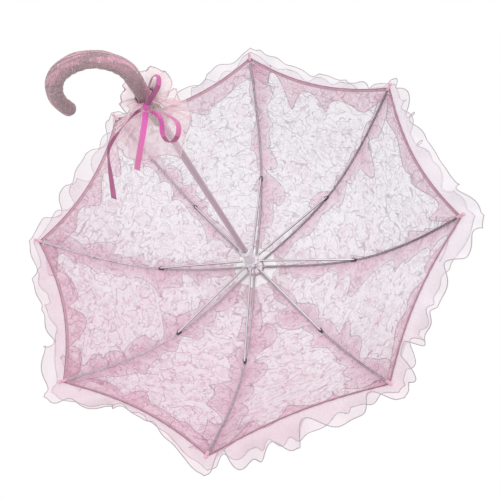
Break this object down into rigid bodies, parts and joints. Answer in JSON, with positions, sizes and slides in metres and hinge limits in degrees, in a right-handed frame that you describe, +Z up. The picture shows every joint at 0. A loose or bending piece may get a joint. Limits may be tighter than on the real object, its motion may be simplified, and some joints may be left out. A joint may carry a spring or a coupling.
{
  "type": "parasol",
  "caption": "Small lace parasol with curved ribs on a folding scissor frame, a sliding runner with spring catches, a flounced rim and a crook handle with a frill and bow.",
  "frame": {"origin": "on the shaft's axis in the straight shank of the crook, where the hand holds it", "axes": "+Z up along the shaft to the ferrule, +X the way the crook bends, canopy open at rest"},
  "size_m": [0.6466, 0.6466, 0.5316],
  "materials": {
    "shaft_paint": "satin paint",
    "steel": "bright zinc",
    "dark_steel": "dark crimped steel",
    "white_plastic": "translucent white plastic",
    "tip_plastic": "pink plastic",
    "lace": "pale pink lace",
    "rosette_cloth": "white cloth",
    "handle_cover": "lace over satin",
    "organza": "sheer organza",
    "ribbon": "fuchsia satin"
  },
  "bodies": {
    "shaft": {"shaft_tube": "shaft_paint", "ferrule": "white_plastic", "top_notch": "white_plastic", "notch_wire": "dark_steel", "inner_rosette": "rosette_cloth", "stop_pin": "dark_steel", "handle_crook": "handle_cover", "frill_lower": "organza", "frill_upper": "organza", "bow_knot": "ribbon", "bow_tail_left": "ribbon", "bow_tail_centre": "ribbon", "bow_loop_upper": "ribbon", "bow_loop_lower": "ribbon", "canopy_gore_1": "lace", "canopy_gore_2": "lace", "canopy_gore_3": "lace", "canopy_gore_4": "lace", "canopy_gore_5": "lace", "canopy_gore_6": "lace", "canopy_gore_7": "lace", "canopy_gore_8": "lace"},
    "rib_arm_1": {"rib_1": "steel", "joint_pin_1": "dark_steel", "rib_tip_1": "tip_plastic"},
    "stretcher_arm_1": {"stretcher_1": "steel"},
    "rib_arm_2": {"rib_2": "steel", "joint_pin_2": "dark_steel", "rib_tip_2": "tip_plastic"},
    "stretcher_arm_2": {"stretcher_2": "steel"},
    "rib_arm_3": {"rib_3": "steel", "joint_pin_3": "dark_steel", "rib_tip_3": "tip_plastic"},
    "stretcher_arm_3": {"stretcher_3": "steel"},
    "rib_arm_4": {"rib_4": "steel", "joint_pin_4": "dark_steel", "rib_tip_4": "tip_plastic"},
    "stretcher_arm_4": {"stretcher_4": "steel"},
    "rib_arm_5": {"rib_5": "steel", "joint_pin_5": "dark_steel", "rib_tip_5": "tip_plastic"},
    "stretcher_arm_5": {"stretcher_5": "steel"},
    "rib_arm_6": {"rib_6": "steel", "joint_pin_6": "dark_steel", "rib_tip_6": "tip_plastic"},
    "stretcher_arm_6": {"stretcher_6": "steel"},
    "rib_arm_7": {"rib_7": "steel", "joint_pin_7": "dark_steel", "rib_tip_7": "tip_plastic"},
    "stretcher_arm_7": {"stretcher_7": "steel"},
    "rib_arm_8": {"rib_8": "steel", "joint_pin_8": "dark_steel", "rib_tip_8": "tip_plastic"},
    "stretcher_arm_8": {"stretcher_8": "steel"},
    "runner_body": {"runner": "white_plastic", "runner_wire": "dark_steel"},
    "top_catch_body": {"top_catch": "steel"},
    "hand_catch_body": {"hand_catch": "steel"}
  },
  "joints": [
    {"name": "canopy_fold", "type": "hinge", "parent": "shaft", "child": "rib_arm_1", "pos_m": [0.00775, 0.00198, 0.43], "axis": [-0.2478, 0.9688, 0], "range_deg": [0, 64], "deforming": ["canopy_gore_1", "canopy_gore_2", "canopy_gore_3", "canopy_gore_4", "canopy_gore_5", "canopy_gore_6", "canopy_gore_7", "canopy_gore_8", "inner_rosette"]},
    {"name": "stretcher_1_fold", "type": "hinge", "parent": "rib_arm_1", "child": "stretcher_arm_1", "pos_m": [0.14451, 0.03697, 0.41933], "axis": [-0.2478, 0.9688, 0], "range_deg": [-128, 0]},
    {"name": "rib_2_fold", "type": "hinge", "parent": "shaft", "child": "rib_arm_2", "pos_m": [0.00408, 0.00688, 0.43], "axis": [-0.8603, 0.5098, 0], "range_deg": [0, 64]},
    {"name": "stretcher_2_fold", "type": "hinge", "parent": "rib_arm_2", "child": "stretcher_arm_2", "pos_m": [0.07604, 0.12832, 0.41933], "axis": [-0.8603, 0.5098, 0], "range_deg": [-128, 0]},
    {"name": "rib_3_fold", "type": "hinge", "parent": "shaft", "child": "rib_arm_3", "pos_m": [-0.00198, 0.00775, 0.43], "axis": [-0.9688, -0.2478, 0], "range_deg": [0, 64]},
    {"name": "stretcher_3_fold", "type": "hinge", "parent": "rib_arm_3", "child": "stretcher_arm_3", "pos_m": [-0.03697, 0.14451, 0.41933], "axis": [-0.9688, -0.2478, 0], "range_deg": [-128, 0]},
    {"name": "rib_4_fold", "type": "hinge", "parent": "shaft", "child": "rib_arm_4", "pos_m": [-0.00688, 0.00408, 0.43], "axis": [-0.5098, -0.8603, 0], "range_deg": [0, 64]},
    {"name": "stretcher_4_fold", "type": "hinge", "parent": "rib_arm_4", "child": "stretcher_arm_4", "pos_m": [-0.12832, 0.07604, 0.41933], "axis": [-0.5098, -0.8603, 0], "range_deg": [-128, 0]},
    {"name": "rib_5_fold", "type": "hinge", "parent": "shaft", "child": "rib_arm_5", "pos_m": [-0.00775, -0.00198, 0.43], "axis": [0.2478, -0.9688, 0], "range_deg": [0, 64]},
    {"name": "stretcher_5_fold", "type": "hinge", "parent": "rib_arm_5", "child": "stretcher_arm_5", "pos_m": [-0.14451, -0.03697, 0.41933], "axis": [0.2478, -0.9688, 0], "range_deg": [-128, 0]},
    {"name": "rib_6_fold", "type": "hinge", "parent": "shaft", "child": "rib_arm_6", "pos_m": [-0.00408, -0.00688, 0.43], "axis": [0.8603, -0.5098, 0], "range_deg": [0, 64]},
    {"name": "stretcher_6_fold", "type": "hinge", "parent": "rib_arm_6", "child": "stretcher_arm_6", "pos_m": [-0.07604, -0.12832, 0.41933], "axis": [0.8603, -0.5098, 0], "range_deg": [-128, 0]},
    {"name": "rib_7_fold", "type": "hinge", "parent": "shaft", "child": "rib_arm_7", "pos_m": [0.00198, -0.00775, 0.43], "axis": [0.9688, 0.2478, 0], "range_deg": [0, 64]},
    {"name": "stretcher_7_fold", "type": "hinge", "parent": "rib_arm_7", "child": "stretcher_arm_7", "pos_m": [0.03697, -0.14451, 0.41933], "axis": [0.9688, 0.2478, 0], "range_deg": [-128, 0]},
    {"name": "rib_8_fold", "type": "hinge", "parent": "shaft", "child": "rib_arm_8", "pos_m": [0.00688, -0.00408, 0.43], "axis": [0.5098, 0.8603, 0], "range_deg": [0, 64]},
    {"name": "stretcher_8_fold", "type": "hinge", "parent": "rib_arm_8", "child": "stretcher_arm_8", "pos_m": [0.12832, -0.07604, 0.41933], "axis": [0.5098, 0.8603, 0], "range_deg": [-128, 0]},
    {"name": "runner_slide_link", "type": "hinge", "parent": "stretcher_arm_1", "child": "runner_body", "pos_m": [0.00775, 0.00198, 0.40866], "axis": [-0.2478, 0.9688, 0], "range_deg": [0, 64]},
    {"name": "top_catch_press", "type": "hinge", "parent": "shaft", "child": "top_catch_body", "pos_m": [0.00006, 0.0004, 0.3607], "axis": [-0.9899, 0.1418, 0], "range_deg": [-10, 0], "stiffness_Nm_per_rad": 0.02},
    {"name": "hand_catch_press", "type": "hinge", "parent": "shaft", "child": "hand_catch_body", "pos_m": [0.00006, 0.0004, 0.1189], "axis": [-0.9899, 0.1418, 0], "range_deg": [-10, 0], "stiffness_Nm_per_rad": 0.02}
  ],
  "couplings": [
    {"joint": "stretcher_1_fold", "follows": "canopy_fold", "ratio": -2},
    {"joint": "rib_2_fold", "follows": "canopy_fold", "ratio": 1},
    {"joint": "stretcher_2_fold", "follows": "canopy_fold", "ratio": -2},
    {"joint": "rib_3_fold", "follows": "canopy_fold", "ratio": 1},
    {"joint": "stretcher_3_fold", "follows": "canopy_fold", "ratio": -2},
    {"joint": "rib_4_fold", "follows": "canopy_fold", "ratio": 1},
    {"joint": "stretcher_4_fold", "follows": "canopy_fold", "ratio": -2},
    {"joint": "rib_5_fold", "follows": "canopy_fold", "ratio": 1},
    {"joint": "stretcher_5_fold", "follows": "canopy_fold", "ratio": -2},
    {"joint": "rib_6_fold", "follows": "canopy_fold", "ratio": 1},
    {"joint": "stretcher_6_fold", "follows": "canopy_fold", "ratio": -2},
    {"joint": "rib_7_fold", "follows": "canopy_fold", "ratio": 1},
    {"joint": "stretcher_7_fold", "follows": "canopy_fold", "ratio": -2},
    {"joint": "rib_8_fold", "follows": "canopy_fold", "ratio": 1},
    {"joint": "stretcher_8_fold", "follows": "canopy_fold", "ratio": -2},
    {"joint": "runner_slide_link", "follows": "canopy_fold", "ratio": 1}
  ]
}
